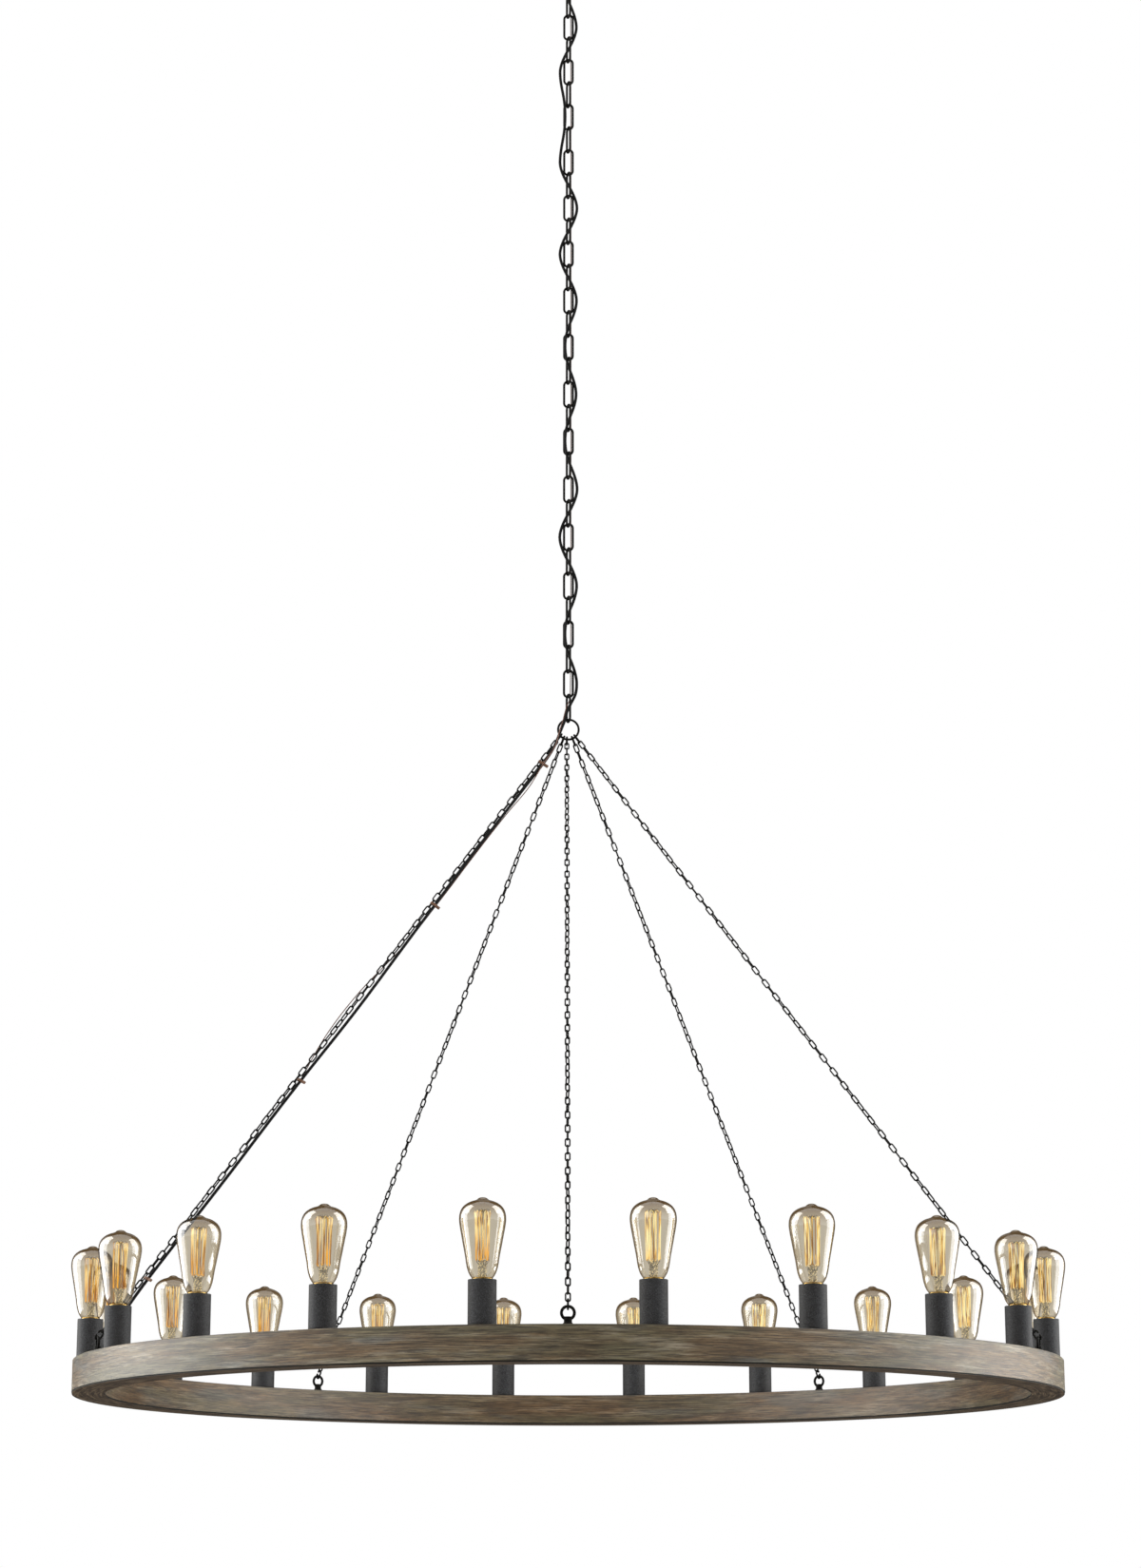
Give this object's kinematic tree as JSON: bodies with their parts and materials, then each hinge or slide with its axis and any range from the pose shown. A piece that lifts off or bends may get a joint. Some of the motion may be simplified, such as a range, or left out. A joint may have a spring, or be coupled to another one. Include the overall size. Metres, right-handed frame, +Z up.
{
  "type": "ring chandelier",
  "caption": "Round wood ring chandelier with upright screw-base lamps in dark cups, hung by thin chains that meet at a ring under a heavier chain and a ceiling canopy.",
  "frame": {"origin": "middle of the ceiling plane, at the centre of the crossbar's slots", "axes": "+Z up, -Y towards the front, +X to the right seen from the front"},
  "size_m": [1.5238, 1.5238, 2.4945],
  "materials": {
    "black_steel": "satin black-brown enamel",
    "charcoal_steel": "fine sandy charcoal powder coat",
    "weathered_wood": "weathered grey-brown stain, grain along the ring",
    "dark_board": "dark matte stain",
    "plain_steel": "zinc plated",
    "brass": "bright",
    "holder_black": "matte",
    "lamp_glass": "clear glass with a smoky amber tint",
    "cord_black": "matte black jacket",
    "wire_brown": "clear reddish brown",
    "tie_rust": "matte rust",
    "cap_grey": "matte grey"
  },
  "bodies": {
    "ceiling_mount": {"ceiling_crossbar": "plain_steel", "ground_screw": "plain_steel", "threaded_nipple": "plain_steel", "nipple_nuts": "plain_steel", "wire_connectors": "cap_grey", "ceiling_wires": "cord_black"},
    "canopy": {"canopy": "black_steel"},
    "collar": {"collar_ring": "black_steel"},
    "loop": {"canopy_loop": "black_steel"},
    "first_link": {"top_link": "black_steel"},
    "chain": {"main_chain": "black_steel", "supply_cord_chain": "cord_black", "ground_wire_chain": "wire_brown"},
    "last_link": {"bottom_link": "black_steel"},
    "wheel": {"hub_ring": "black_steel", "hub_connectors": "black_steel", "chain_front": "black_steel", "chain_left": "black_steel", "chain_right": "black_steel", "chain_back_left": "black_steel", "chain_back_right": "black_steel", "eye_links": "black_steel", "eye_bolts": "black_steel", "eye_bases": "black_steel", "eye_nuts": "plain_steel", "ring_body": "weathered_wood", "ring_cover": "dark_board", "cover_screws": "plain_steel", "socket_cups": "charcoal_steel", "socket_washers": "black_steel", "lamp_holders": "holder_black", "screw_shells": "brass", "centre_contacts": "brass", "socket_nipples": "plain_steel", "socket_nuts": "plain_steel", "cord_ties": "tie_rust", "ring_harness": "cord_black", "cord_grommet": "holder_black", "supply_cord_wheel": "cord_black", "ground_wire_wheel": "wire_brown"},
    "bulb_01": {"bulb_01": "lamp_glass"},
    "bulb_02": {"bulb_02": "lamp_glass"},
    "bulb_03": {"bulb_03": "lamp_glass"},
    "bulb_04": {"bulb_04": "lamp_glass"},
    "bulb_05": {"bulb_05": "lamp_glass"},
    "bulb_06": {"bulb_06": "lamp_glass"},
    "bulb_07": {"bulb_07": "lamp_glass"},
    "bulb_08": {"bulb_08": "lamp_glass"},
    "bulb_09": {"bulb_09": "lamp_glass"},
    "bulb_10": {"bulb_10": "lamp_glass"},
    "bulb_11": {"bulb_11": "lamp_glass"},
    "bulb_12": {"bulb_12": "lamp_glass"},
    "bulb_13": {"bulb_13": "lamp_glass"},
    "bulb_14": {"bulb_14": "lamp_glass"},
    "bulb_15": {"bulb_15": "lamp_glass"},
    "bulb_16": {"bulb_16": "lamp_glass"},
    "bulb_17": {"bulb_17": "lamp_glass"},
    "bulb_18": {"bulb_18": "lamp_glass"},
    "bulb_19": {"bulb_19": "lamp_glass"},
    "bulb_20": {"bulb_20": "lamp_glass"}
  },
  "joints": [
    {"name": "canopy_drop", "type": "slide", "parent": "ceiling_mount", "child": "canopy", "axis": [0, 0, -1], "range_m": [0, 0.03]},
    {"name": "collar_turn", "type": "hinge", "parent": "canopy", "child": "collar", "pos_m": [0, 0, -0.046], "axis": [0, 0, 1], "continuous": true},
    {"name": "fixture_turn", "type": "hinge", "parent": "ceiling_mount", "child": "loop", "pos_m": [0, 0, -0.046], "axis": [0, 0, 1], "range_deg": [-30, 30]},
    {"name": "sway_side", "type": "hinge", "parent": "loop", "child": "first_link", "pos_m": [0, 0, -0.0726], "axis": [0, 1, 0], "range_deg": [-12, 12], "deforming": ["supply_cord_chain", "ground_wire_chain"]},
    {"name": "sway_front", "type": "hinge", "parent": "first_link", "child": "chain", "pos_m": [0, 0, -0.1139], "axis": [1, 0, 0], "range_deg": [-12, 12]},
    {"name": "wheel_tilt_front", "type": "hinge", "parent": "chain", "child": "last_link", "pos_m": [0, 0, -1.3679], "axis": [1, 0, 0], "range_deg": [-12, 12]},
    {"name": "wheel_tilt_side", "type": "hinge", "parent": "last_link", "child": "wheel", "pos_m": [0, 0, -1.4097], "axis": [0, 1, 0], "range_deg": [-12, 12], "deforming": ["supply_cord_wheel", "ground_wire_wheel"]},
    {"name": "bulb_01_lift", "type": "slide", "parent": "wheel", "child": "bulb_01", "axis": [0, 0, 1], "range_m": [0, 0.03]},
    {"name": "bulb_02_lift", "type": "slide", "parent": "wheel", "child": "bulb_02", "axis": [0, 0, 1], "range_m": [0, 0.03]},
    {"name": "bulb_03_lift", "type": "slide", "parent": "wheel", "child": "bulb_03", "axis": [0, 0, 1], "range_m": [0, 0.03]},
    {"name": "bulb_04_lift", "type": "slide", "parent": "wheel", "child": "bulb_04", "axis": [0, 0, 1], "range_m": [0, 0.03]},
    {"name": "bulb_05_lift", "type": "slide", "parent": "wheel", "child": "bulb_05", "axis": [0, 0, 1], "range_m": [0, 0.03]},
    {"name": "bulb_06_lift", "type": "slide", "parent": "wheel", "child": "bulb_06", "axis": [0, 0, 1], "range_m": [0, 0.03]},
    {"name": "bulb_07_lift", "type": "slide", "parent": "wheel", "child": "bulb_07", "axis": [0, 0, 1], "range_m": [0, 0.03]},
    {"name": "bulb_08_lift", "type": "slide", "parent": "wheel", "child": "bulb_08", "axis": [0, 0, 1], "range_m": [0, 0.03]},
    {"name": "bulb_09_lift", "type": "slide", "parent": "wheel", "child": "bulb_09", "axis": [0, 0, 1], "range_m": [0, 0.03]},
    {"name": "bulb_10_lift", "type": "slide", "parent": "wheel", "child": "bulb_10", "axis": [0, 0, 1], "range_m": [0, 0.03]},
    {"name": "bulb_11_lift", "type": "slide", "parent": "wheel", "child": "bulb_11", "axis": [0, 0, 1], "range_m": [0, 0.03]},
    {"name": "bulb_12_lift", "type": "slide", "parent": "wheel", "child": "bulb_12", "axis": [0, 0, 1], "range_m": [0, 0.03]},
    {"name": "bulb_13_lift", "type": "slide", "parent": "wheel", "child": "bulb_13", "axis": [0, 0, 1], "range_m": [0, 0.03]},
    {"name": "bulb_14_lift", "type": "slide", "parent": "wheel", "child": "bulb_14", "axis": [0, 0, 1], "range_m": [0, 0.03]},
    {"name": "bulb_15_lift", "type": "slide", "parent": "wheel", "child": "bulb_15", "axis": [0, 0, 1], "range_m": [0, 0.03]},
    {"name": "bulb_16_lift", "type": "slide", "parent": "wheel", "child": "bulb_16", "axis": [0, 0, 1], "range_m": [0, 0.03]},
    {"name": "bulb_17_lift", "type": "slide", "parent": "wheel", "child": "bulb_17", "axis": [0, 0, 1], "range_m": [0, 0.03]},
    {"name": "bulb_18_lift", "type": "slide", "parent": "wheel", "child": "bulb_18", "axis": [0, 0, 1], "range_m": [0, 0.03]},
    {"name": "bulb_19_lift", "type": "slide", "parent": "wheel", "child": "bulb_19", "axis": [0, 0, 1], "range_m": [0, 0.03]},
    {"name": "bulb_20_lift", "type": "slide", "parent": "wheel", "child": "bulb_20", "axis": [0, 0, 1], "range_m": [0, 0.03]}
  ]
}
